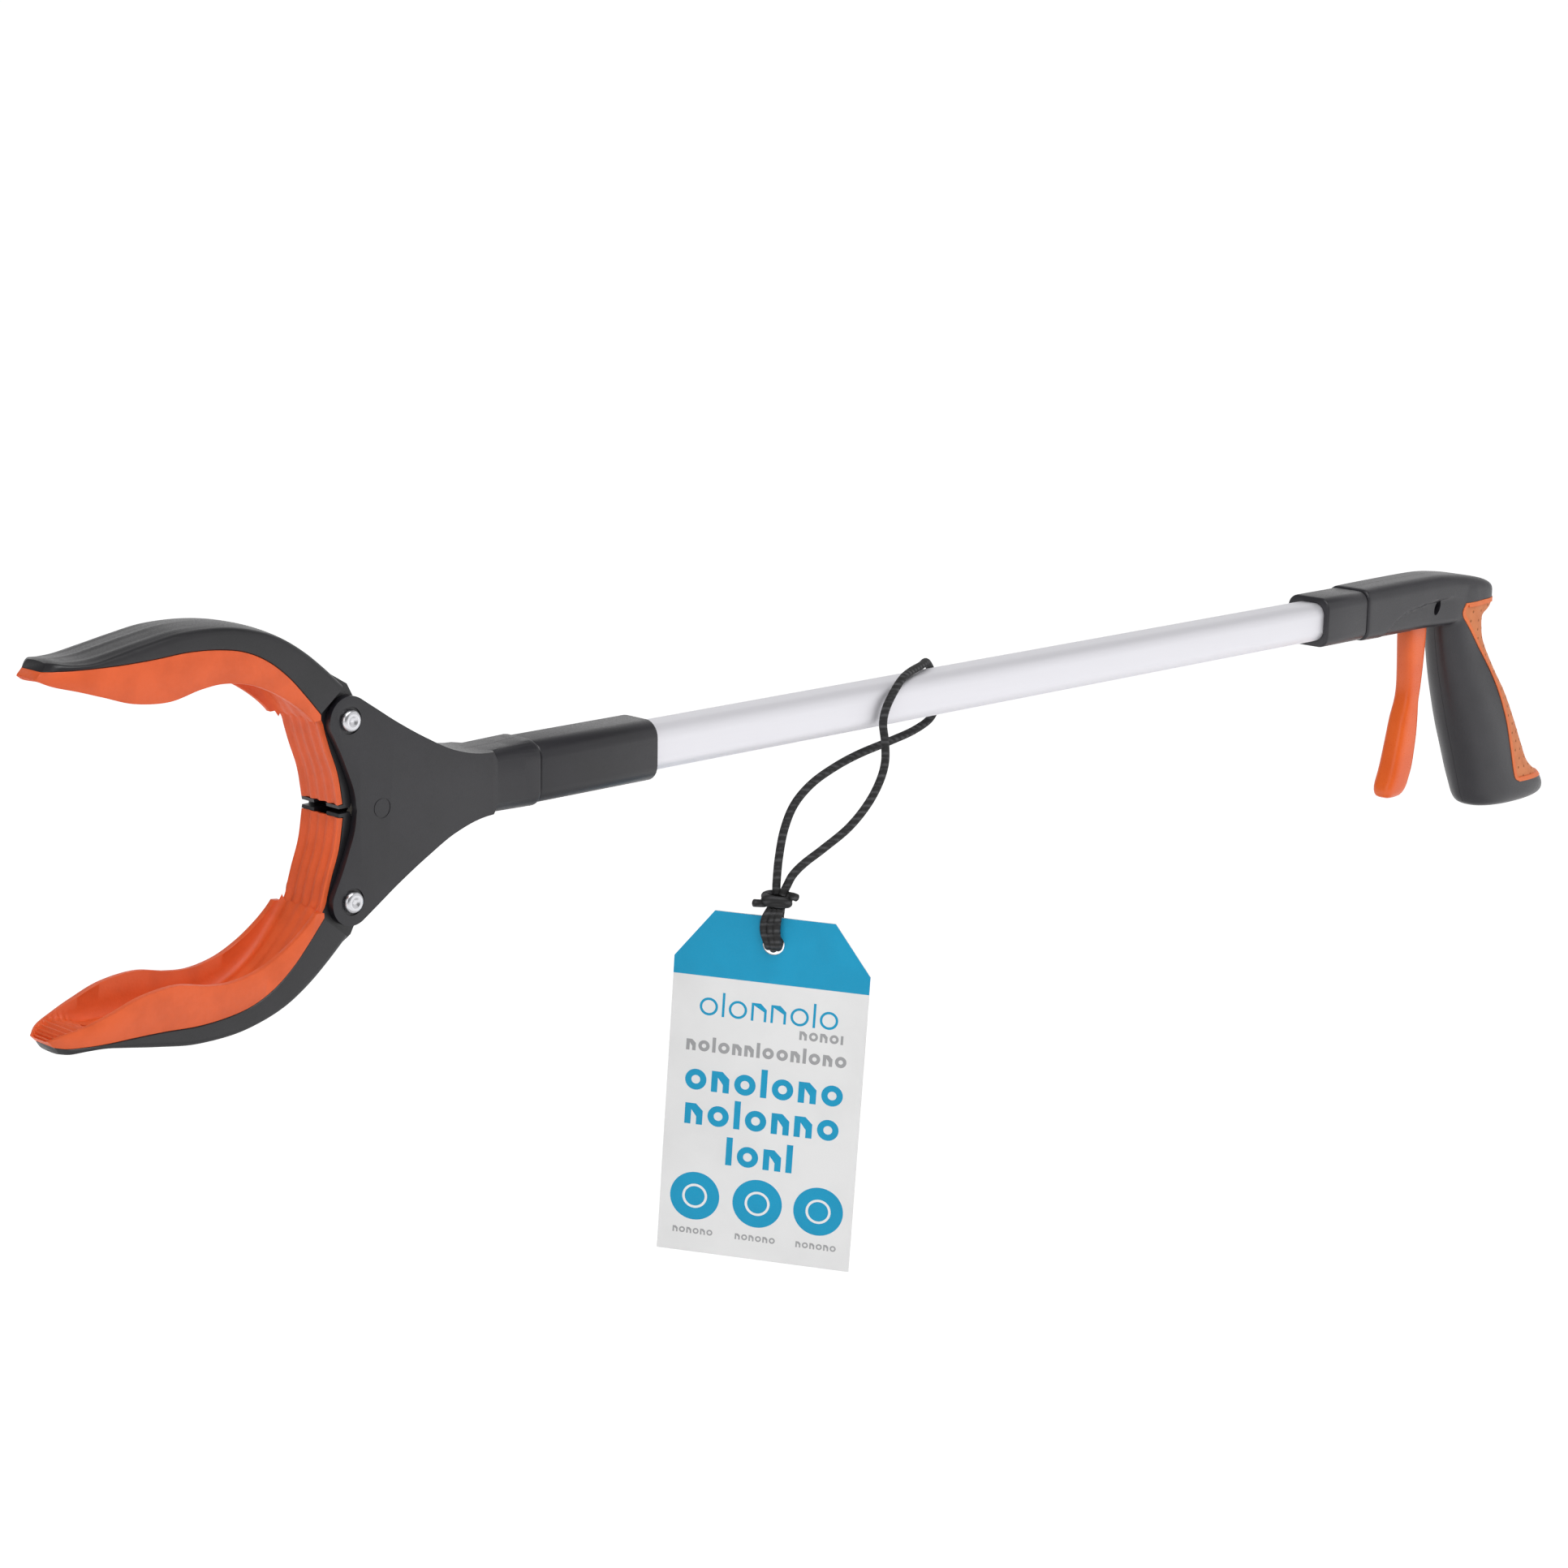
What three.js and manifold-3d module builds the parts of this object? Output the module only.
// Reacher grabber: a pistol handle whose trigger pulls a rod through a square tube, which closes two
// rubber-lined jaws in a head that turns about the tube. Millimetres, +Z up, +X from jaws to handle.
// The origin is the middle of the grip, where a hand holds it.
import * as THREE from 'three';
import { mergeVertices } from 'three/addons/utils/BufferGeometryUtils.js';
import Module from 'manifold-3d';

const wasm = await Module();
wasm.setup();

// ---------------------------------------------------------------- driving dimensions
const FIT = 0.3; // gap between pieces that touch
const RUN = 0.4; // radial play of a pin in a moving piece

const TUBE_SIDE = 16;
const TUBE_CORNER = 5;
const TUBE_WALL = 1.1;
const TUBE_LENGTH = 454;

const SLEEVE_WALL = 2.3; // the two black sleeves that hold the tube's ends
const SLEEVE_SIDE = TUBE_SIDE + 2 * (SLEEVE_WALL + FIT / 2);
const SLEEVE_CORNER = TUBE_CORNER + 0.8;
const HEAD_SLEEVE_LENGTH = 52;
const HANDLE_SLEEVE_LENGTH = 28.5;
const TUBE_IN_HEAD_SLEEVE = 22;
const TUBE_IN_BARREL = 21;

const PIN_Z = 28.5; // each jaw pin's height over the tube's axis
const PIN_R = 2;
const RIVET_HEAD_R = 3.3;
const RIVET_HEAD_T = 1.3;
const LOBE_R = 7.6;
const PLATE_T = 2.4;
const HEAD_HALF = 12; // half of the head's thickness at its jaw plates
const NECK_START = 54; // where the fan of the head has narrowed to the neck
const HEAD_LENGTH = 78; // from the jaw pins to the sleeve
const SPIGOT_R = 6.5;
const SPIGOT_LENGTH = 23;
const ROD_R = 2;
const ROD_PASSAGE_R = 4.6;

const JAW_REACH = 105.5; // from the pins to the tips
const JAW_HALF = 12; // half of the jaws' width
const JAW_ROOT = 14; // up to here a jaw's shape keeps to its pin
const LINING_T = 2.2;
const BAND_T = 1.6; // the lining's narrow band between the head's plates
const HUB_R = 7;
const YOKE_HALF = 2.8; // half of the pull yoke's thickness
const YOKE_PIN_DROP = 9; // from a jaw's pin to the yoke's pin below it
const YOKE_PIN_R = 1.4;
const YOKE_PIN_X = 0.36;
const LEVER_WEB = -2.9; // where the front web of a jaw's lever ends
const JAW_SLOT_LONG = 1.6; // how far the yoke's pin slides along a jaw's slot

const WALL = 2.4; // handle shells
const PAD_T = 2.2;
const PIVOT_Z = 5.2; // trigger pin over the tube's axis
const TRIGGER_PIN_R = 1.5;
const TRIGGER_HALF = 4.6;
const TRIGGER_HUB_R = 2.9;
const TRIGGER_PULL = THREE.MathUtils.degToRad(23);
const JAW_CLOSE = THREE.MathUtils.degToRad(28.1);
const CLEVIS_PIN_R = 1.4;
const ROD_END_HALF = 2;

const HAND_X = 56; // the grip's middle, from the trigger's pin
const HAND_Z = -50;

const TAG_WIDTH = 71;
const TAG_HEIGHT = 129;
const TAG_T = 0.8;
const TAG_SHOULDER = 13.7;
const TAG_SHOULDER_DROP = 18;
const TAG_HOLE_R = 2.9;
const TAG_HOLE_DROP = 10;
const TAG_TURN = THREE.MathUtils.degToRad(-56); // the tag's width from +X, seen from above
const TAG_LEAN = THREE.MathUtils.degToRad(3);
const CORD_R = 1.5;
const KNOT_R = 4.2;
const KNOT_HALF = 6.2;
const BIGHT_LENGTH = 17; // from the knot's middle down to the tag's hole

// ---------------------------------------------------------------- derived places
const TUBE_FRONT = HEAD_LENGTH + FIT + HEAD_SLEEVE_LENGTH - TUBE_IN_HEAD_SLEEVE;
const TUBE_REAR = TUBE_FRONT + TUBE_LENGTH;
const BARREL_FRONT = TUBE_REAR - TUBE_IN_BARREL;
const PIVOT_X = TUBE_REAR + 28;
const PLATE_INNER = HEAD_HALF - PLATE_T;
const HUB_HALF = PLATE_INNER - FIT;
const NECK_HALF = SLEEVE_SIDE / 2;
const ROD_TRAVEL = YOKE_PIN_DROP * Math.tan(JAW_CLOSE + Math.atan2(YOKE_PIN_X, YOKE_PIN_DROP)) - YOKE_PIN_X;
const LEVER = ROD_TRAVEL / 2 / Math.tan(TRIGGER_PULL / 2); // from the trigger's pin down to the clevis pin
const CLEVIS_X = -ROD_TRAVEL / 2; // from the trigger's pin, at rest
const CLEVIS_Z = PIVOT_Z - LEVER;
const ROUND = 20; // sides of a round piece

// ---------------------------------------------------------------- solids
const BLACK = { color: 0x403e43, roughness: 0.5, metalness: 0 };
const DARK_GREY = { color: 0x4c4b50, roughness: 0.55, metalness: 0 };
const ORANGE = { color: 0xe8693a, roughness: 0.6, metalness: 0 };
const PEACH = { color: 0xe99a63, roughness: 0.75, metalness: 0 };
const SILVER = { color: 0xdedde2, roughness: 0.35, metalness: 0.6 };
const STEEL = { color: 0xc8c8cc, roughness: 0.3, metalness: 1 };
const CARD = { color: 0xececec, roughness: 0.8, metalness: 0 };
const CORD = { color: 0x2b2b2b, roughness: 0.9, metalness: 0 };
const NATURAL = { color: 0xd8d4c8, roughness: 0.5, metalness: 0 };

function solid(geometry) {
  let bare = geometry.clone();
  bare.deleteAttribute('normal');
  bare.deleteAttribute('uv');
  bare = mergeVertices(bare, 1e-4);
  const vertProperties = new Float32Array(bare.attributes.position.array);
  const triVerts = new Uint32Array(bare.index.array);
  return new wasm.Manifold(new wasm.Mesh({ numProp: 3, vertProperties, triVerts }));
}

function geometryOf(body) {
  const mesh = body.getMesh();
  const geometry = new THREE.BufferGeometry();
  geometry.setAttribute('position', new THREE.BufferAttribute(new Float32Array(mesh.vertProperties), 3));
  geometry.setIndex(new THREE.BufferAttribute(new Uint32Array(mesh.triVerts), 1));
  return geometry;
}

function piece(name, shape, finish) {
  const geometry = shape.isBufferGeometry ? shape : geometryOf(shape);
  const mesh = new THREE.Mesh(geometry, new THREE.MeshStandardMaterial(finish));
  mesh.name = name;
  return mesh;
}

const joined = (...bodies) => bodies.reduce((all, next) => all.add(next));
const cutBy = (body, ...tools) => tools.reduce((rest, tool) => rest.subtract(tool), body);

// A closed skin through sections of equal point count. Each section has an origin, two directions
// u and v, and an outline of [along u, along v] points.
function loft(sections) {
  const count = sections[0].outline.length;
  const points = [];
  for (const { origin, u, v, outline } of sections) {
    for (const [a, b] of outline) {
      points.push(origin.clone().addScaledVector(u, a).addScaledVector(v, b));
    }
  }
  const index = [];
  for (let s = 0; s + 1 < sections.length; s++) {
    for (let i = 0; i < count; i++) {
      const here = s * count + i;
      const next = s * count + ((i + 1) % count);
      index.push(here, next, next + count, here, next + count, here + count);
    }
  }
  const flat = (outline) => outline.map(([a, b]) => new THREE.Vector2(a, b));
  const capOf = (outline) => THREE.ShapeUtils.triangulateShape(flat(outline), []);
  const start = capOf(sections[0].outline);
  const end = capOf(sections[sections.length - 1].outline);
  const last = (sections.length - 1) * count;
  const turned = THREE.ShapeUtils.area(flat(sections[0].outline)) > 0;
  const add = (face, base, flip) => {
    const [a, b, c] = face.map((k) => k + base);
    index.push(...(flip ? [a, c, b] : [a, b, c]));
  };
  start.forEach((face) => add(face, 0, turned === isCounter(sections[0].outline, face)));
  end.forEach((face) => add(face, last, turned !== isCounter(sections[sections.length - 1].outline, face)));
  return outward(points, index);
}

function isCounter(outline, [a, b, c]) {
  const [p, q, r] = [outline[a], outline[b], outline[c]];
  return (q[0] - p[0]) * (r[1] - p[1]) - (r[0] - p[0]) * (q[1] - p[1]) > 0;
}

// Turns every face over when the skin encloses a negative volume.
function outward(points, index) {
  let volume = 0;
  for (let i = 0; i < index.length; i += 3) {
    const [a, b, c] = [points[index[i]], points[index[i + 1]], points[index[i + 2]]];
    volume += a.dot(b.clone().cross(c));
  }
  if (volume < 0) {
    for (let i = 0; i < index.length; i += 3) [index[i], index[i + 1]] = [index[i + 1], index[i]];
  }
  const geometry = new THREE.BufferGeometry().setFromPoints(points);
  geometry.setIndex(index);
  return geometry;
}

const outlineShape = (points) => new THREE.Shape(points.map(([a, b]) => new THREE.Vector2(a, b)));

function slab(outline, depth) {
  return new THREE.ExtrudeGeometry(outlineShape(outline), { depth, bevelEnabled: false });
}

// An outline of [x, z] points, thick along Y.
function alongY(outline, low, high) {
  const turn = new THREE.Matrix4().makeBasis(axisX, axisZ, axisY.clone().negate());
  return solid(slab(outline, high - low).applyMatrix4(turn).translate(0, high, 0));
}

// An outline of [y, z] points, long along X.
function alongX(outline, low, high) {
  const turn = new THREE.Matrix4().makeBasis(axisY, axisZ, axisX);
  return solid(slab(outline, high - low).applyMatrix4(turn).translate(low, 0, 0));
}

const axisX = new THREE.Vector3(1, 0, 0);
const axisY = new THREE.Vector3(0, 1, 0);
const axisZ = new THREE.Vector3(0, 0, 1);

function rodX(radius, low, high, y = 0, z = 0, sides = ROUND) {
  const bar = new THREE.CylinderGeometry(radius, radius, high - low, sides).rotateZ(-Math.PI / 2);
  return solid(bar.translate((low + high) / 2, y, z));
}

function rodY(radius, low, high, x, z, sides = ROUND) {
  const bar = new THREE.CylinderGeometry(radius, radius, high - low, sides);
  return solid(bar.translate(x, (low + high) / 2, z));
}

function block(x0, x1, y0, y1, z0, z1) {
  const box = new THREE.BoxGeometry(x1 - x0, y1 - y0, z1 - z0);
  return solid(box.translate((x0 + x1) / 2, (y0 + y1) / 2, (z0 + z1) / 2));
}

// Points of a circle's arc, angles in degrees.
function arc(x, z, radius, from, to, steps) {
  return Array.from({ length: steps + 1 }, (_, i) => {
    const angle = THREE.MathUtils.degToRad(from + ((to - from) * i) / steps);
    return [x + radius * Math.cos(angle), z + radius * Math.sin(angle)];
  });
}

// A rectangle with rounded corners as [y, z] points.
function roundedBox(halfWidth, top, bottom, corner, steps = 3) {
  const w = halfWidth - corner;
  return [
    ...arc(w, top - corner, corner, 0, 90, steps),
    ...arc(-w, top - corner, corner, 90, 180, steps),
    ...arc(-w, bottom + corner, corner, 180, 270, steps),
    ...arc(w, bottom + corner, corner, 270, 360, steps),
  ];
}

const square = (side, corner) => roundedBox(side / 2, side / 2, -side / 2, corner);

// An oval of the given half sizes, squarer as the power rises above 2.
function oval(a, b, power, steps) {
  return Array.from({ length: steps }, (_, i) => {
    const angle = (2 * Math.PI * i) / steps;
    const [c, s] = [Math.cos(angle), Math.sin(angle)];
    const k = 2 / power;
    return [a * Math.sign(c) * Math.abs(c) ** k, b * Math.sign(s) * Math.abs(s) ** k];
  });
}

function smooth(points, steps) {
  const curve = new THREE.SplineCurve(points.map(([a, b]) => new THREE.Vector2(a, b)));
  return curve.getPoints(steps).map((p) => [p.x, p.y]);
}

const mirrored = (outline) => outline.map(([x, z]) => [x, -z]).reverse();

// ---------------------------------------------------------------- tube and sleeves
function tube() {
  const outer = alongX(square(TUBE_SIDE, TUBE_CORNER), TUBE_FRONT, TUBE_REAR);
  const inner = square(TUBE_SIDE - 2 * TUBE_WALL, TUBE_CORNER - TUBE_WALL);
  return cutBy(outer, alongX(inner, TUBE_FRONT - 1, TUBE_REAR + 1), ...tubeRivetHoles());
}

const TUBE_RIVET_R = 1.6;
const HEAD_RIVET_X = TUBE_FRONT + TUBE_IN_HEAD_SLEEVE / 2;
const HANDLE_RIVET_X = BARREL_FRONT - HANDLE_SLEEVE_LENGTH / 2;

function tubeRivetHoles() {
  const [low, high] = [TUBE_SIDE / 2 - TUBE_WALL - 1, NECK_HALF + 1];
  return [HEAD_RIVET_X, HANDLE_RIVET_X].map((x) => rodY(TUBE_RIVET_R + FIT, low, high, x, 0, 16));
}

function tubeRivet(x) {
  const inner = TUBE_SIDE / 2 - TUBE_WALL - 0.8;
  const shank = rodY(TUBE_RIVET_R, inner, NECK_HALF + FIT, x, 0, 16);
  return joined(shank, rodY(TUBE_RIVET_R * 1.7, NECK_HALF + FIT, NECK_HALF + FIT + 0.8, x, 0, 16));
}

const tubeSocket = (low, high) => alongX(square(TUBE_SIDE + 2 * FIT, TUBE_CORNER + FIT), low, high);

function headSleeve() {
  const [low, high] = [HEAD_LENGTH + FIT, HEAD_LENGTH + FIT + HEAD_SLEEVE_LENGTH];
  const body = alongX(square(SLEEVE_SIDE, SLEEVE_CORNER), low, high);
  const bore = rodX(SPIGOT_R + FIT, low - 1, TUBE_FRONT);
  const ringRoom = rodX(CLIP_R + FIT, CLIP_X - FIT, CLIP_X + CLIP_T + FIT);
  return cutBy(body, bore, ringRoom, tubeSocket(TUBE_FRONT - FIT, high + 1), ...tubeRivetHoles());
}

function handleSleeve() {
  const [low, high] = [BARREL_FRONT - FIT - HANDLE_SLEEVE_LENGTH, BARREL_FRONT - FIT];
  const body = alongX(square(SLEEVE_SIDE, SLEEVE_CORNER - 1), low, high);
  return cutBy(body, tubeSocket(low - 1, high + 1), ...tubeRivetHoles());
}

// A bush that keeps the rod in the middle of the tube.
function rodGuide(low, high) {
  const side = TUBE_SIDE - 2 * TUBE_WALL - 2 * FIT;
  const body = alongX(square(side, TUBE_CORNER - TUBE_WALL), low, high);
  return cutBy(body, rodX(ROD_R + FIT, low - 1, high + 1));
}

const GUIDE_LENGTH = 8;
const FRONT_GUIDE_X = TUBE_FRONT + FIT;
const REAR_GUIDE_X = TUBE_REAR - 14;
const SPRING_LENGTH = 42;
const SPRING_R = 4.2;
const SPRING_WIRE_R = 0.6;
const SPRING_TURNS = 8;
const ROD_COLLAR_T = 4;

class Helix extends THREE.Curve {
  getPoint(t) {
    const angle = 2 * Math.PI * SPRING_TURNS * t;
    const radius = SPRING_R;
    return new THREE.Vector3(t * SPRING_LENGTH, radius * Math.cos(angle), radius * Math.sin(angle));
  }
}

function returnSpring() {
  const wire = outlineShape(oval(SPRING_WIRE_R, SPRING_WIRE_R, 2, 6));
  const steps = SPRING_TURNS * 8;
  const coil = new THREE.ExtrudeGeometry(wire, { steps, extrudePath: new Helix(), bevelEnabled: false });
  const rearmost = REAR_GUIDE_X - FIT - SPRING_WIRE_R;
  return solid(coil.translate(rearmost - SPRING_LENGTH, 0, 0));
}

function rodCollar() {
  const high = REAR_GUIDE_X - 2 * FIT - 2 * SPRING_WIRE_R - SPRING_LENGTH;
  return cutBy(rodX(SPRING_R + 1, high - ROD_COLLAR_T, high), rodX(ROD_R + FIT / 2, high - 9, high + 1));
}

// ---------------------------------------------------------------- head
function fanOutline() {
  const front = smooth([[2.1, 0], [1.2, 6], [-0.6, PIN_Z - 17.3], [-3.6, PIN_Z - 10],
    [-6.6, PIN_Z - 3.6]], 6);
  const lobe = arc(0, PIN_Z, LOBE_R, 208, 54, 10);
  const half = NECK_HALF;
  const flare = smooth([[10, PIN_Z + 2.4], [18.5, PIN_Z - 3], [30, PIN_Z - 9.4], [41, half + 3.4],
    [NECK_START, half]], 6);
  const upper = [...front.slice(0, -1), ...lobe, ...flare, [NECK_START + 4, half]];
  return [...upper, ...mirrored(upper).slice(0, -1)];
}

function fanPlan() {
  const side = smooth([[-20, HEAD_HALF], [24, HEAD_HALF], [42, HEAD_HALF - 0.7],
    [NECK_START + 5, NECK_HALF]], 6);
  return [...side, ...side.map(([x, y]) => [x, -y]).reverse()];
}

const SCREW_X = 28;
const SCREW_Z = PIN_Z - 16.2;
const SCREW_R = 1.3;
const SCREW_HEAD_R = 2.6;
const SCREW_HEAD_T = 1.6;
const CAVITY_REAR = 40;
const CLIP_X = HEAD_LENGTH + SPIGOT_LENGTH - 3.5;
const CLIP_T = 1.2;
const CLIP_R = SPIGOT_R + 1;
const RING_X = HEAD_LENGTH + 9;
const RING_T = 1.6;
const GROOVE_R = SPIGOT_R - 1.2;

function headSolid() {
  const planSlab = slab(fanPlan(), 4 * PIN_Z).translate(0, 0, -2 * PIN_Z);
  const fan = alongY(fanOutline(), -HEAD_HALF, HEAD_HALF).intersect(solid(planSlab));
  const neck = alongX(square(SLEEVE_SIDE, SLEEVE_CORNER), NECK_START - 4, HEAD_LENGTH);
  const spigot = rodX(SPIGOT_R, HEAD_LENGTH - 1, HEAD_LENGTH + SPIGOT_LENGTH);
  return joined(fan, neck, spigot);
}

function headCavity() {
  const upper = [[-20, PIN_Z + 20], [12, PIN_Z + 20], [12, PIN_Z - 1.6], [18.5, PIN_Z - 6.5],
    [30, PIN_Z - 12.9], [37, PIN_Z - 16.5], [CAVITY_REAR, 6]];
  const hollow = alongY([...mirrored(upper), ...upper], -PLATE_INNER, PLATE_INNER);
  const bosses = [1, -1].map((s) => rodY(SCREW_R + 2.1, -HEAD_HALF, HEAD_HALF, SCREW_X, s * SCREW_Z));
  const clear = joined(hollow, rodX(ROD_PASSAGE_R, CAVITY_REAR - 1, HEAD_LENGTH + SPIGOT_LENGTH - 5));
  return cutBy(clear, ...bosses);
}

function ringGroove(x, thick, radius) {
  return cutBy(rodX(SPIGOT_R + 1, x, x + thick), rodX(radius, x - 1, x + thick + 1));
}

function headShell(side) {
  const cuts = [headCavity(), rodX(ROD_R + 0.6, 60, HEAD_LENGTH + SPIGOT_LENGTH + 1)];
  for (const s of [1, -1]) {
    cuts.push(rodY(PIN_R + FIT, -HEAD_HALF - 1, HEAD_HALF + 1, 0, s * PIN_Z));
    const seat = HEAD_HALF - SCREW_HEAD_T - 2 * FIT;
    cuts.push(rodY(SCREW_HEAD_R + FIT, seat, HEAD_HALF + 1, SCREW_X, s * SCREW_Z));
    cuts.push(rodY(SCREW_R + FIT, -HEAD_HALF + WALL, HEAD_HALF, SCREW_X, s * SCREW_Z));
  }
  cuts.push(ringGroove(RING_X, RING_T, GROOVE_R), ringGroove(CLIP_X - FIT / 2, CLIP_T + FIT, GROOVE_R));
  const far = HEAD_LENGTH + SPIGOT_LENGTH + 10;
  const seam = FIT / 2;
  const half = side < 0 ? block(-30, far, -40, -seam, -80, 80) : block(-30, far, seam, 40, -80, 80);
  return cutBy(headSolid(), ...cuts).intersect(half);
}

function crossScrew(x, z, low, high) {
  const shank = rodY(SCREW_R, low, high - SCREW_HEAD_T, x, z, 16);
  const head = rodY(SCREW_HEAD_R, high - SCREW_HEAD_T, high, x, z, 20);
  const [long, thin] = [1.7, 0.4];
  const slots = [[long, thin], [thin, long]].map(
    ([a, b]) => block(x - a, x + a, high - 0.9, high + 1, z - b, z + b));
  return cutBy(joined(shank, head), ...slots);
}

function jawRivet(z) {
  const [low, high] = [HEAD_HALF + FIT, HEAD_HALF + FIT + RIVET_HEAD_T];
  const half = [[PIN_R, low], [RIVET_HEAD_R, low], [RIVET_HEAD_R, low + 0.4], [RIVET_HEAD_R - 0.9, high],
    [0, high]];
  const profile = [...half.map(([r, y]) => [r, -y]).reverse(), ...half];
  const turned = new THREE.LatheGeometry(profile.map(([r, y]) => new THREE.Vector2(r, y)), ROUND);
  return solid(turned.translate(0, 0, z));
}

// A ring on the spigot: a rubber one that gives the head its stiff turn, and a clip that keeps it in.
function spigotRing(x, thick, outer) {
  const inner = GROOVE_R + FIT / 2;
  const corner = Math.min(thick, outer - inner) / 4;
  const profile = [[inner, x], [outer - corner, x], [outer, x + corner], [outer, x + thick - corner],
    [outer - corner, x + thick], [inner, x + thick], [inner, x]];
  const turned = new THREE.LatheGeometry(profile.map(([r, along]) => new THREE.Vector2(r, along)), ROUND);
  return solid(turned.rotateZ(-Math.PI / 2));
}

function openClip() {
  return cutBy(spigotRing(CLIP_X, CLIP_T, CLIP_R), block(CLIP_X - 1, CLIP_X + 2, -2, 2, -20, 0));
}

// ---------------------------------------------------------------- jaws
// Stations from root to tip: [reach, rise] of the back, of the seam between arm and lining, and of the
// lining's rim, all from the jaw's pin; then half width as a share of the jaw's.
const STATIONS = [
  { back: [1, 11.6], seam: [11, 3.5], rim: [11, -2.5], wide: 1 },
  { back: [8.6, 18.4], seam: [16.5, 9.8], rim: [14.5, 2.2], wide: 1 },
  { back: [16, 24.2], seam: [22.8, 16.4], rim: [20, 7], wide: 1 },
  { back: [24.4, 29.2], seam: [30, 21.9], rim: [27.5, 11.8], wide: 1 },
  { back: [34, 32.6], seam: [38, 25.6], rim: [36, 15.4], wide: 1 },
  { back: [45, 34.6], seam: [47, 27.4], rim: [45.5, 17], wide: 1 },
  { back: [59, 34.8], seam: [58, 28], rim: [54, 16], wide: 1 },
  { back: [71, 32.9], seam: [70, 27.3], rim: [65, 13.7], wide: 1 },
  { back: [81, 31], seam: [80, 27], rim: [77, 14.8], wide: 1 },
  { back: [89.5, 29.6], seam: [89, 27], rim: [87, 18.2], wide: 0.97 },
  { back: [95.5, 29.4], seam: [95.5, 27], rim: [94.5, 20.6], wide: 0.87 },
  { back: [99.5, 29.7], seam: [100.8, 27], rim: [101.5, 22.6], wide: 0.68 },
  { back: [101.8, 29.4], seam: [103.4, 26.8], rim: [105.5, 24.6], wide: 0.42 },
];
const FULL_REACH = 105.5; // the reach that the stations are drawn for
const BACK_CROWN = 1.4; // how far the back's middle stands over its edges

function jawPoint([reach, rise]) {
  const past = Math.max(0, reach - JAW_ROOT) * (JAW_REACH - JAW_ROOT) / (FULL_REACH - JAW_ROOT);
  return new THREE.Vector3(-(Math.min(reach, JAW_ROOT) + past), 0, PIN_Z + rise);
}

// A section across a jaw: u runs from the inner point to the outer one, v along Y.
function across(inner, outer, outlineOf) {
  const u = outer.clone().sub(inner);
  const tall = u.length();
  return { origin: inner, u: u.normalize(), v: axisY, outline: outlineOf(tall) };
}

function armSection({ back, seam, wide }) {
  const half = JAW_HALF * wide;
  const outlineOf = (tall) => {
    const edge = Math.min(2.4, 0.6 * tall);
    return [[0, -half], [tall - edge, -half], [tall - 0.3 * edge, -half + 0.7 * edge], [tall, -half / 2],
      [tall + BACK_CROWN * wide - 1, 0], [tall, half / 2], [tall - 0.3 * edge, half - 0.7 * edge],
      [tall - edge, half], [0, half]];
  };
  return across(jawPoint(seam), jawPoint(back), outlineOf);
}

function liningSection({ seam, rim, wide }) {
  const half = JAW_HALF * wide;
  const outlineOf = (tall) => {
    const foot = FIT; // the gap to the arm
    const floor = foot + Math.min(LINING_T, 0.5 * (tall - foot));
    const inside = half - LINING_T;
    const lip = Math.min(0.6, 0.3 * (tall - floor));
    const fillet = Math.min(1.2, 0.4 * (tall - floor));
    return [[foot, -half], [tall - lip, -half], [tall, -half + lip], [tall, -inside - lip],
      [floor + fillet, -inside + 0.3], [floor, -inside + 1.8], [floor, inside - 1.8],
      [floor + fillet, inside - 0.3], [tall, inside + lip], [tall, half - lip], [tall - lip, half],
      [foot, half]];
  };
  const inner = jawPoint(seam);
  return across(inner, jawPoint(rim), outlineOf);
}

// The narrow band's inner face as [x, z] points, from the wide part down to the gap between the jaws.
const BAND_GAP = 2; // half of the gap between the two bands
function bandFace(offset) {
  const rim = jawPoint(STATIONS[0].rim);
  const face = smooth([[rim.x + 0.8, rim.z + 2.5], [rim.x + 3.4, PIN_Z - 8.5], [-4.6, PIN_Z * 0.4],
    [-3, BAND_GAP]], 8);
  return face.map(([x, z]) => [x + offset, z]);
}

function liningBand() {
  const outline = [...bandFace(0), ...bandFace(BAND_T).reverse()];
  return alongY(outline, -HUB_HALF, HUB_HALF);
}

function jawLining() {
  const trough = solid(loft(STATIONS.map(liningSection)));
  const root = jawPoint(STATIONS[0].rim);
  const bridge = alongY([[root.x - 0.4, root.z + 1.2], [root.x + 3.2, root.z - 2], [root.x + 4, root.z + 0.6],
    [root.x + 2.1, root.z + 4.4], [root.x + 0.2, root.z + 5.2]], -HUB_HALF, HUB_HALF);
  return joined(cutBy(trough, plateSweep(1), plateSweep(-1)), bridge, liningBand());
}

// The room that a plate's lobe needs in the wide part of a jaw.
function plateSweep(side) {
  const [low, high] = side > 0 ? [HUB_HALF, HEAD_HALF + 4] : [-HEAD_HALF - 4, -HUB_HALF];
  return rodY(LOBE_R + 2 * FIT, low, high, 0, PIN_Z, 32);
}

function leverOutline() {
  const front = bandFace(BAND_T + FIT);
  const rear = smooth([[HUB_R, PIN_Z], [6.2, PIN_Z - 8], [4.6, 9], [2, BAND_GAP]], 6);
  return [...front.reverse(), ...rear];
}

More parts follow.
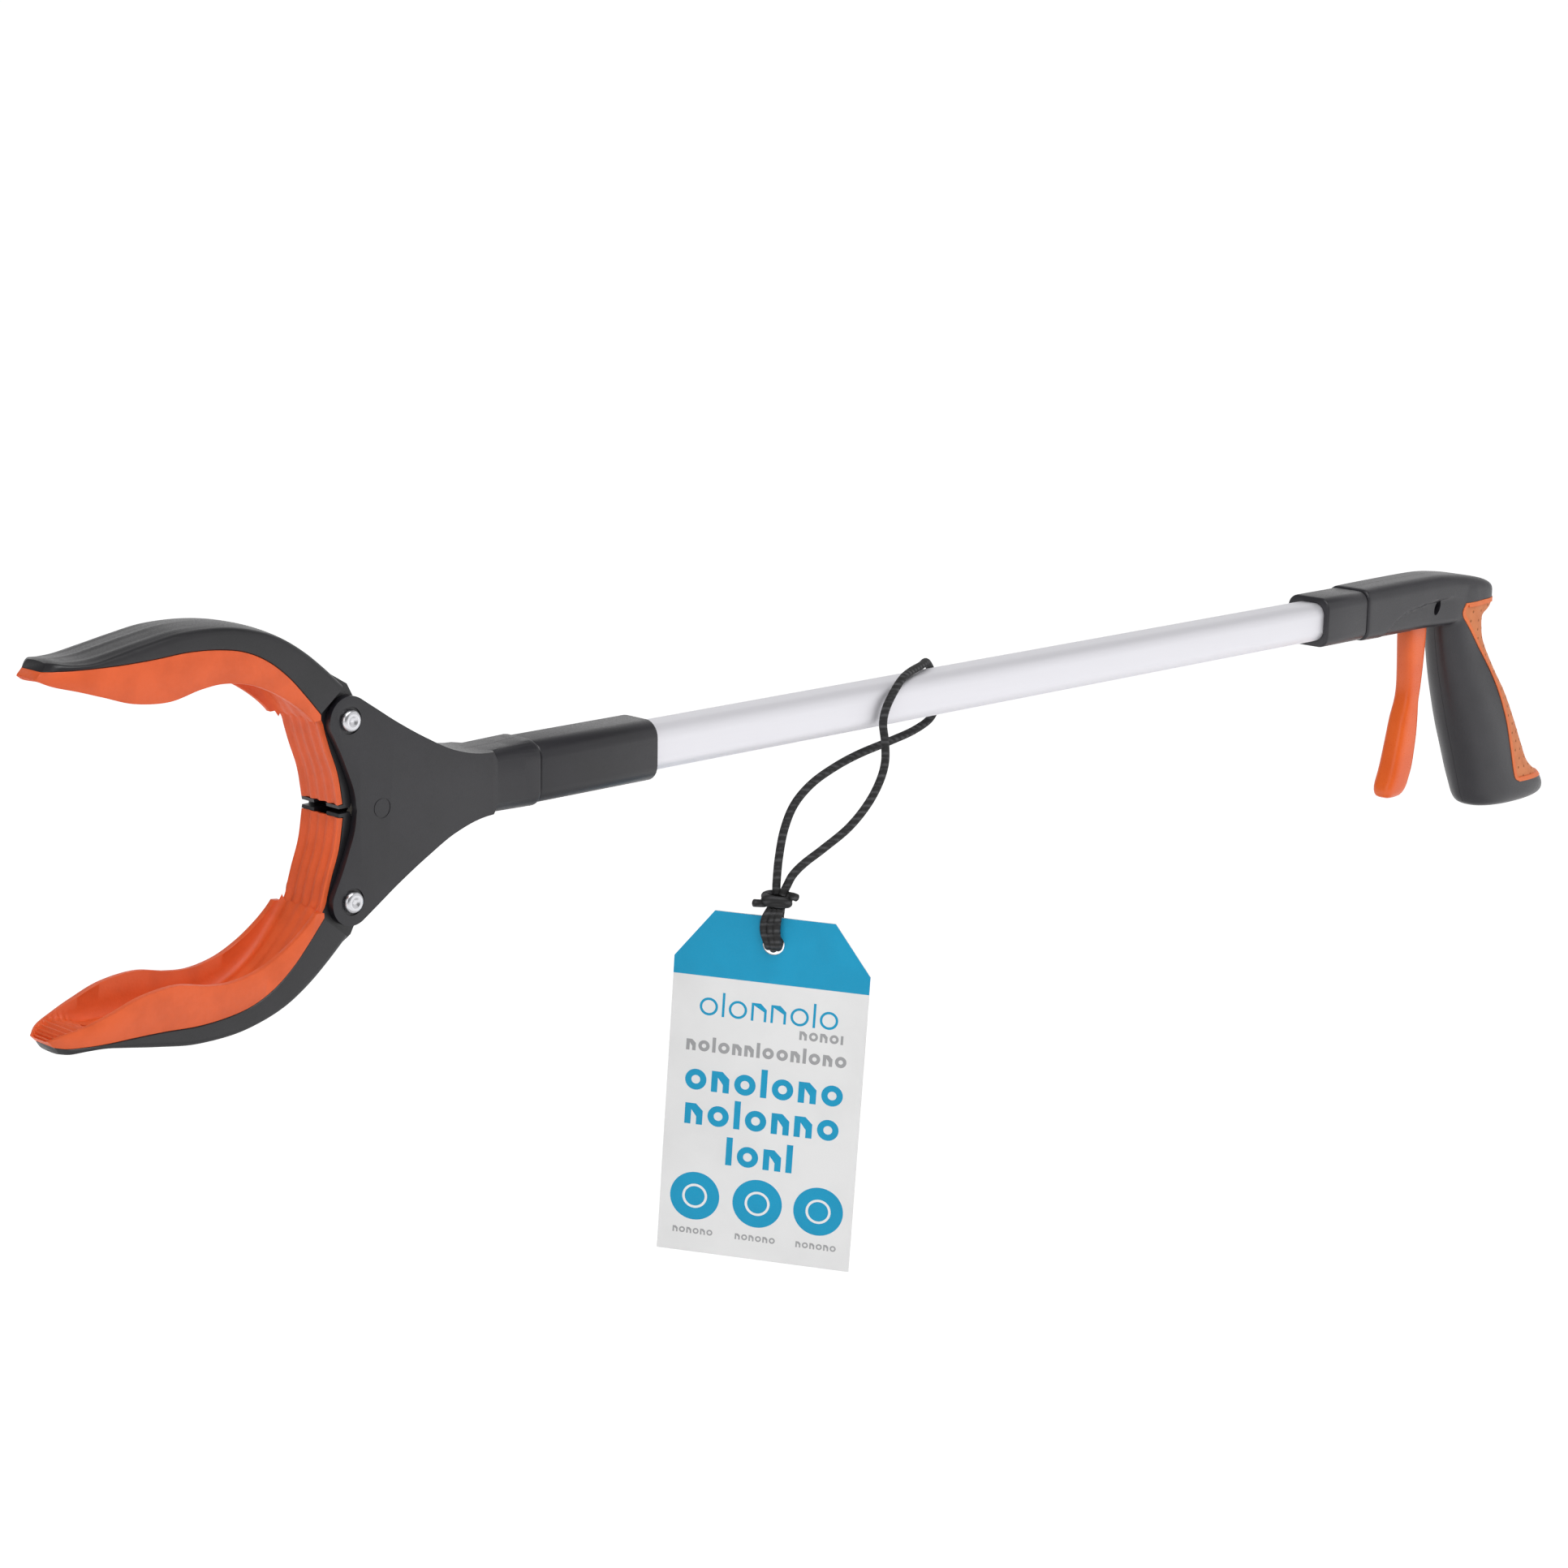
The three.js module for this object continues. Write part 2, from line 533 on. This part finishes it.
function jawArm() {
  const wide = solid(loft(STATIONS.map(armSection)));
  const root = [[-11.3, PIN_Z + 3.2], [-10, PIN_Z - 1], [-6, PIN_Z - 4], [0, PIN_Z - HUB_R + 0.6],
    [HUB_R - 0.6, PIN_Z], [1, PIN_Z + 11], [-9, PIN_Z + 17], [-16.2, PIN_Z + 10.4]];
  const hub = rodY(HUB_R, -HUB_HALF, HUB_HALF, 0, PIN_Z, 32);
  const middle = joined(alongY(root, -HUB_HALF, HUB_HALF), hub, alongY(leverOutline(), -HUB_HALF, HUB_HALF));
  const arm = joined(cutBy(wide, plateSweep(1), plateSweep(-1)), cutBy(middle, liningRoom()));
  return cutBy(arm, ...jawCuts());
}

function jawCuts() {
  const play = YOKE_PIN_R + RUN;
  const away = Math.atan2(YOKE_PIN_X, YOKE_PIN_DROP);
  const along = (d) => [d * Math.sin(away), PIN_Z - d * Math.cos(away)];
  const near = Math.hypot(YOKE_PIN_X, YOKE_PIN_DROP) - 0.1;
  const ends = [along(near), along(near + JAW_SLOT_LONG)];
  const slot = ends.map(([x, z]) => rodY(play, -HUB_HALF - 1, HUB_HALF + 1, x, z));
  const middle = along(near + JAW_SLOT_LONG / 2);
  const run = block(-play, play, -HUB_HALF - 1, HUB_HALF + 1, -JAW_SLOT_LONG / 2, JAW_SLOT_LONG / 2);
  const fork = YOKE_HALF + FIT;
  const forkGap = cutBy(block(LEVER_WEB, 20, -fork, fork, -2, PIN_Z), rodY(HUB_R - 0.8, -20, 20, 0, PIN_Z));
  return [rodY(PIN_R + FIT, -20, 20, 0, PIN_Z), ...slot, run.translate([middle[0], 0, middle[1]]), forkGap];
}

// The room that the lining takes in the middle of the arm: its trough, then its bridge to the band.
function liningRoom() {
  const trough = solid(loft(STATIONS.map(({ seam, rim }) => across(jawPoint(seam), jawPoint(rim),
    (tall) => [[0, -20], [tall + 6, -20], [tall + 6, 20], [0, 20]]))));
  return joined(trough, bridgeRoom());
}

function bridgeRoom() {
  const root = jawPoint(STATIONS[0].rim);
  const outline = [[root.x - 4, root.z + 1.6], [root.x + 3.4, root.z - 3], [root.x + 4.4, root.z + 0.8],
    [root.x + 2.4, root.z + 4.8], [root.x, root.z + 5.8], [root.x - 4, root.z + 6.4]];
  return alongY(outline, -HUB_HALF - 1, HUB_HALF + 1);
}

const flippedZ = (body) => body.mirror([0, 0, 1]);

// ---------------------------------------------------------------- pull yoke and rod
const SOCKET_FRONT = 14;
const SOCKET_REAR = 30;
const SOCKET_HALF = 6.2;
const BUTTON_R = 4;
const BUTTON_X = 19.5;
const BUTTON_T = 4;

// Two sloping arms from the rod's socket to the pins that ride in the jaws' slots.
function pullYoke() {
  const eye = YOKE_PIN_R + 1;
  const top = PIN_Z - YOKE_PIN_DROP;
  const crotch = SOCKET_FRONT - 1.5;
  const h = SOCKET_HALF;
  const upper = [[crotch, 0], ...arc(YOKE_PIN_X, top, eye, 220, 50, 10), [SOCKET_FRONT + 3, h - 0.2]];
  const bar = alongY([...upper, ...mirrored(upper).slice(0, -1)], -YOKE_HALF, YOKE_HALF);
  const pins = [1, -1].map((s) => rodY(YOKE_PIN_R, -HUB_HALF + FIT, HUB_HALF - FIT, YOKE_PIN_X, s * top, 16));
  const socket = block(SOCKET_FRONT, SOCKET_REAR, -h, h, -h, h);
  const button = BUTTON_R + RUN;
  const pocket = rodX(button, BUTTON_X - FIT, BUTTON_X + BUTTON_T + FIT);
  const pocketSlot = block(BUTTON_X - FIT, BUTTON_X + BUTTON_T + FIT, -button, button, 0, h + 1);
  const rodHole = rodX(ROD_R + RUN, BUTTON_X + 1, SOCKET_REAR + 1);
  const rodSlot = block(BUTTON_X + 1, SOCKET_REAR + 1, -ROD_R - RUN, ROD_R + RUN, 0, h + 1);
  return cutBy(joined(bar, socket, ...pins), pocket, pocketSlot, rodHole, rodSlot);
}

function pullRod() {
  const [front, back, rear] = [BUTTON_X, BUTTON_X + BUTTON_T, PIVOT_X - 19];
  const [edge, rim] = [0.6, BUTTON_R - 0.6];
  const profile = [[0, front], [rim, front], [BUTTON_R, front + edge], [BUTTON_R, back - edge], [rim, back],
    [ROD_R, back], [ROD_R, rear], [0, rear]];
  const turned = new THREE.LatheGeometry(profile.map(([r, x]) => new THREE.Vector2(r, x)), 16);
  return solid(turned.rotateZ(-Math.PI / 2));
}

// The rod's end fitting, in places from the trigger's pin.
function rodEnd() {
  const boss = rodX(3.6, -31, -15);
  const eye = arc(CLEVIS_X, CLEVIS_Z, CLEVIS_PIN_R + 1.1, -120, 60, 8);
  const arm = alongY([[-19, -3.2], [-12, -3.6], ...eye, [-12, 2], [-19, 3.2]], -ROD_END_HALF, ROD_END_HALF);
  const socket = rodX(ROD_R + FIT, -32, -18.5);
  return cutBy(joined(boss, arm), socket, rodY(CLEVIS_PIN_R + FIT / 2, -5, 5, CLEVIS_X, CLEVIS_Z, 16));
}

// ---------------------------------------------------------------- trigger
// Level sections of the finger lever: height over the tube's axis, middle, half depth, half width.
const FINGER = [
  [-8.6, 0.3, 6.6, 4.5], [-15, 0.4, 7, 4.5], [-29, 0.7, 6.1, 4.4], [-38, 0, 5.1, 4.4],
  [-44, -1, 5, 4.5], [-51, -2.2, 6.2, 4.9], [-60, -3.4, 7.1, 5.2], [-72, -6, 7.7, 5.4],
  [-79, -8.8, 7.8, 5.4], [-83.5, -10.6, 6.6, 5], [-85.6, -11.4, 4, 3],
];

function levelSection([z, x, a, b], power, steps) {
  return { origin: new THREE.Vector3(x, 0, z), u: axisX, v: axisY, outline: oval(a, b, power, steps) };
}

function trigger() {
  const finger = solid(loft(FINGER.map((row) => levelSection(row, 3, 16))));
  const hub = rodY(TRIGGER_HUB_R, -TRIGGER_HALF, TRIGGER_HALF, 0, PIVOT_Z);
  const cheek = [[-2.9, PIVOT_Z], [-5.4, CLEVIS_Z], [-5.8, -9.6], [6.4, -9.6], [4.6, -4], [2.9, PIVOT_Z]];
  const body = joined(finger, hub, alongY(cheek, -TRIGGER_HALF, TRIGGER_HALF));
  const gap = ROD_END_HALF + FIT;
  const fork = block(-12, 12, -gap, gap, CLEVIS_Z - 3.4, PIVOT_Z - 3);
  const pivot = rodY(TRIGGER_PIN_R + FIT, -9, 9, 0, PIVOT_Z);
  return cutBy(body, fork, pivot, rodY(CLEVIS_PIN_R + RUN, -9, 9, CLEVIS_X, CLEVIS_Z));
}

// ---------------------------------------------------------------- handle
// Upright sections of the barrel, from the trigger's pin: place, half width, top, bottom, corner.
const BARREL = [
  [BARREL_FRONT - PIVOT_X, 0.4, 0.8, -0.6, 4.8], [-30, 0.4, 1.1, -0.9, 4.8], [0, 0.4, 1.2, -1, 4.6],
  [12, 0.3, 0.9, -1, 4.4], [24, 0, -0.3, -1, 4.2], [35, -0.3, -2, -0.6, 4], [44, -1, -4, 0.6, 3.4],
  [50, -2.4, -6.2, 3, 2.6], [53, -4.6, -8.2, 5, 1.6],
];
// Level sections of the grip: height over the tube's axis, front, rear, half width.
const GRIP = [
  [-1, 18, 48, 9.2], [-8, 16.4, 47.6, 10], [-14, 17.6, 47.2, 10.2], [-22, 19.6, 49.4, 10.8],
  [-35, 23.3, 58.6, 12.3], [-47, 27.6, 68.4, 13.4], [-60, 32.6, 77, 14], [-72, 37.8, 84.6, 14],
  [-82, 42, 91.6, 14], [-89, 45, 102, 14], [-94.5, 47.6, 106.4, 13.6], [-97.8, 50.4, 105.4, 12.2],
  [-99.4, 54.5, 99, 9.6],
];
const GRIP_FOOT = GRIP[GRIP.length - 1][0];
// The side outline of the rear pad on the grip.
const PAD = [[26, -2.4], [23.6, -6.6], [26.8, -11], [36.5, -22.8], [48.8, -38.4], [57.9, -55.7],
  [63.8, -71.5], [68.8, -85.7], [74, -89.3], [125, -91], [125, -2.4]];

function barrelBody(inset) {
  return solid(loft(BARREL.map(([x, w, top, bottom, corner]) => {
    const half = NECK_HALF + w - inset;
    const edge = Math.max(0.6, corner - inset);
    const low = -NECK_HALF + bottom + inset;
    const high = Math.max(NECK_HALF + top - inset, low + 2 * edge + 0.2);
    return { origin: new THREE.Vector3(x, 0, 0), u: axisY, v: axisZ,
      outline: roundedBox(Math.max(half, edge + 0.2), high, low, edge) };
  })));
}

function gripBody(frontInset, rearInset, sideInset, foot) {
  const rows = GRIP.map(([z, front, rear, half], i) => {
    const level = i === GRIP.length - 1 ? z + foot : z;
    const [low, high] = [front + frontInset, rear - rearInset];
    const floor = GRIP_FOOT + foot + (GRIP.length - 1 - i) * 0.5;
    return [Math.max(level, floor), (low + high) / 2, (high - low) / 2, half - sideInset];
  });
  return solid(loft(rows.map((row) => levelSection(row, 2.3, 20))));
}

const handleBody = (inset) => joined(barrelBody(inset), gripBody(inset, inset, inset, inset));

const padRegion = (grow) => alongY(grownPad(grow), -40, 40);

// The pad's outline moved outwards by a distance, at its front and its two ends.
function grownPad(grow) {
  return PAD.map(([x, z], i) => {
    const up = i === 0 || i === PAD.length - 1 ? grow : 0;
    const down = i >= PAD.length - 3 && i < PAD.length - 1 ? grow : 0;
    return [x - (x < 120 ? grow : 0), z + up - down];
  });
}

const gripPad = () => cutBy(handleBody(0).intersect(padRegion(0)), handleBody(PAD_T));

const HANDLE_SCREWS = [[30, 1.5], [35, -32], [70, -86]];
const BOSS_R = SCREW_R + 2.1;

function handleHollow() {
  const from = TUBE_REAR - PIVOT_X + FIT;
  const room = barrelBody(WALL).intersect(block(from, 36, -20, 20, -20, 20));
  const deep = WALL + PAD_T + FIT;
  const gripRoom = gripBody(WALL, deep, deep, 4).intersect(block(0, 130, -20, 20, -98, -2));
  const posts = HANDLE_SCREWS.map(([x, z]) => rodY(BOSS_R, -20, 20, x, z));
  const pivotPosts = [[-20, -TRIGGER_HALF - FIT], [TRIGGER_HALF + FIT, 20]].map(
    ([low, high]) => rodY(TRIGGER_PIN_R + 1.7, low, high, 0, PIVOT_Z));
  const recessPost = rodY(RECESS_R + 1.4, -20, -TRIGGER_HALF - FIT, RECESS_X, RECESS_Z);
  return cutBy(joined(room, gripRoom), ...posts, ...pivotPosts, recessPost);
}

const RECESS_R = 1.9; // the small round recess on the near side
const RECESS_X = 5.5;
const RECESS_Z = -2.4;

function handleShell(side) {
  const outer = handleBody(0);
  const pocket = cutBy(padRegion(FIT), handleBody(PAD_T + FIT));
  const cuts = [pocket, handleHollow()];
  cuts.push(tubeSocket(BARREL_FRONT - PIVOT_X - 1, TUBE_REAR - PIVOT_X + FIT));
  cuts.push(block(-9, 15.6, -TRIGGER_HALF - 1.1, TRIGGER_HALF + 1.1, -NECK_HALF - 4, -4));
  const hubRoom = TRIGGER_HALF + FIT;
  cuts.push(rodY(TRIGGER_HUB_R + FIT, -hubRoom, hubRoom, 0, PIVOT_Z));
  cuts.push(rodY(TRIGGER_PIN_R + FIT, -TRIGGER_PIN_HALF - FIT, TRIGGER_PIN_HALF + FIT, 0, PIVOT_Z));
  cuts.push(rodY(RECESS_R, -30, -TRIGGER_HALF - 2.2, RECESS_X, RECESS_Z));
  HANDLE_SCREWS.forEach(([x, z], i) => {
    cuts.push(rodY(SCREW_HEAD_R + FIT, screwSeat(i), 30, x, z));
    cuts.push(rodY(SCREW_R + FIT, -screwSeat(i) + 1, 30, x, z));
  });
  const seam = FIT / 2;
  const half = side < 0 ? block(-200, 200, -40, -seam, -150, 60) : block(-200, 200, seam, 40, -150, 60);
  return cutBy(outer, ...cuts).intersect(half);
}

const TRIGGER_PIN_HALF = NECK_HALF - 1.6;
const SEAT_DEPTH = [5.2, 6, 7.4];
const screwSeat = (i) => SEAT_DEPTH[i];

function handleScrew(i) {
  const [x, z] = HANDLE_SCREWS[i];
  return crossScrew(x, z, -screwSeat(i) + 1 + FIT, screwSeat(i) + FIT + SCREW_HEAD_T);
}

// ---------------------------------------------------------------- swing tag and its cord
// The cord's route, chosen by hand: out of the knot, up behind the tube, over it, down its near side
// and back to the knot. Places along the tube are from the jaw pins, heights from the tube's axis.
const KNOT = [193, -5.2, -63.1];
const CORD_ROUTE = [
  [193.8, -4.2, -57], [195.6, -3.4, -48.5], [199, -2.5, -39], [205, -1.5, -31], [215, -0.5, -25],
  [229, 1, -21], [243, 2.5, -18.6], [261, 4.8, -17], [277, 7.6, -15.6], [289, 10.2, -12.9],
  [293, 10.8, -7], [292, 10.6, 0], [287.5, 9.8, 6.5], [281, 6, 9.9], [274, 2, 10], [263, -3, 9.9],
  [254, -7, 8.8], [246.5, -9.8, 5.2], [242.2, -10.3, 0], [240.8, -10.3, -5.5], [242.4, -10, -12.6],
  [243, -9.6, -20.2], [240.7, -9, -27.5], [235, -8.5, -35], [226, -8, -42], [214, -7.6, -47.5],
  [204.4, -7.4, -51.4], [198.8, -7.4, -54.6], [196, -7.4, -57.8],
];

function cordTube(points, steps) {
  const path = new THREE.CatmullRomCurve3(points.map((p) => new THREE.Vector3(...p)), false, 'centripetal');
  const section = outlineShape(oval(CORD_R, CORD_R, 2, 8));
  return solid(new THREE.ExtrudeGeometry(section, { steps, extrudePath: path, bevelEnabled: false }));
}

// Pieces on the knot are made around its middle: x along the tag's width, y to its back, z up.
function cordKnot() {
  const profile = [[0, -KNOT_HALF], [KNOT_R * 0.6, -KNOT_HALF * 0.92], [KNOT_R * 0.85, -KNOT_HALF * 0.5],
    [KNOT_R, 0], [KNOT_R * 0.85, KNOT_HALF * 0.5], [KNOT_R * 0.6, KNOT_HALF * 0.92], [0, KNOT_HALF]];
  const turned = new THREE.LatheGeometry(profile.map(([r, x]) => new THREE.Vector2(r, x)), 20);
  return solid(turned.rotateZ(-Math.PI / 2));
}

function cordBight() {
  const [down, side] = [BIGHT_LENGTH, CORD_R + TAG_T / 2 + FIT];
  const start = KNOT_R + CORD_R + FIT;
  const front = [[0, -1.9, -start], [0, -side - 0.2, -start - 3], [0, -side - 0.1, -down + 3]];
  const back = front.map(([x, y, z]) => [x, -y, z]).reverse();
  return cordTube([...front, [0, -side * 0.55, -down - 0.2], [0, side * 0.55, -down - 0.2], ...back], 18);
}

function swingTag() {
  const top = TAG_HOLE_DROP - BIGHT_LENGTH;
  const [half, low] = [TAG_WIDTH / 2, top - TAG_HEIGHT];
  const shoulder = half - TAG_SHOULDER;
  const outline = [[-shoulder, top], [-half, top - TAG_SHOULDER_DROP], [-half, low], [half, low],
    [half, top - TAG_SHOULDER_DROP], [shoulder, top]];
  const card = alongY(outline.reverse(), -TAG_T / 2, TAG_T / 2);
  return cutBy(card, rodY(TAG_HOLE_R, -3, 3, 0, -BIGHT_LENGTH + 0.6));
}

// ---------------------------------------------------------------- assembly
const tool = new THREE.Group();

tool.add(
  piece('tube', tube(), SILVER),
  piece('head_sleeve', headSleeve(), BLACK),
  piece('handle_sleeve', handleSleeve(), DARK_GREY),
  piece('head_sleeve_rivet', tubeRivet(HEAD_RIVET_X), STEEL),
  piece('handle_sleeve_rivet', tubeRivet(HANDLE_RIVET_X), STEEL),
  piece('front_rod_guide', rodGuide(FRONT_GUIDE_X, FRONT_GUIDE_X + GUIDE_LENGTH), NATURAL),
  piece('rear_rod_guide', rodGuide(REAR_GUIDE_X, REAR_GUIDE_X + GUIDE_LENGTH), NATURAL),
  piece('return_spring', returnSpring(), STEEL),
  piece('head_shell_near', headShell(-1), BLACK),
  piece('head_shell_far', headShell(1), BLACK),
  piece('head_screw_upper', crossScrew(SCREW_X, SCREW_Z, -8, HEAD_HALF - FIT), STEEL),
  piece('head_screw_lower', crossScrew(SCREW_X, -SCREW_Z, -8, HEAD_HALF - FIT), STEEL),
  piece('upper_jaw_rivet', jawRivet(PIN_Z), STEEL),
  piece('lower_jaw_rivet', jawRivet(-PIN_Z), STEEL),
  piece('head_friction_ring', spigotRing(RING_X + 0.2, RING_T - 0.4, SPIGOT_R + 0.1), CORD),
  piece('head_retaining_clip', openClip(), STEEL),
  piece('pull_yoke', pullYoke(), NATURAL),
  piece('pull_rod', pullRod(), STEEL),
  piece('rod_collar', rodCollar(), STEEL),
  piece('upper_jaw_arm', jawArm(), BLACK),
  piece('lower_jaw_arm', flippedZ(jawArm()), BLACK),
  piece('upper_jaw_lining', jawLining(), ORANGE),
  piece('lower_jaw_lining', flippedZ(jawLining()), ORANGE),
);

const handle = new THREE.Group();
handle.position.x = PIVOT_X;
handle.add(
  piece('handle_shell_near', handleShell(-1), DARK_GREY),
  piece('handle_shell_far', handleShell(1), DARK_GREY),
  piece('grip_pad', gripPad(), PEACH),
  piece('trigger_pin', rodY(TRIGGER_PIN_R, -TRIGGER_PIN_HALF, TRIGGER_PIN_HALF, 0, PIVOT_Z), STEEL),
  piece('trigger', trigger(), ORANGE),
  piece('rod_end', rodEnd(), NATURAL),
  piece('clevis_pin', rodY(CLEVIS_PIN_R, -TRIGGER_HALF, TRIGGER_HALF, CLEVIS_X, CLEVIS_Z, 16), STEEL),
);
['upper', 'middle', 'lower'].forEach((place, i) => {
  handle.add(piece(`handle_screw_${place}`, handleScrew(i), STEEL));
});
tool.add(handle);

const hanging = new THREE.Group();
hanging.position.set(...KNOT);
hanging.rotation.set(0, 0, TAG_TURN);
const leaning = new THREE.Group();
leaning.rotation.y = TAG_LEAN;
leaning.add(
  piece('cord_knot', cordKnot(), CORD),
  piece('cord_bight', cordBight(), CORD),
  piece('swing_tag', swingTag(), CARD),
);
hanging.add(leaning);
tool.add(piece('tag_cord', cordTube(CORD_ROUTE, 44), CORD), hanging);

const reacher = new THREE.Group();
tool.position.set(-(PIVOT_X + HAND_X), 0, -HAND_Z);
reacher.add(tool);

export default reacher;
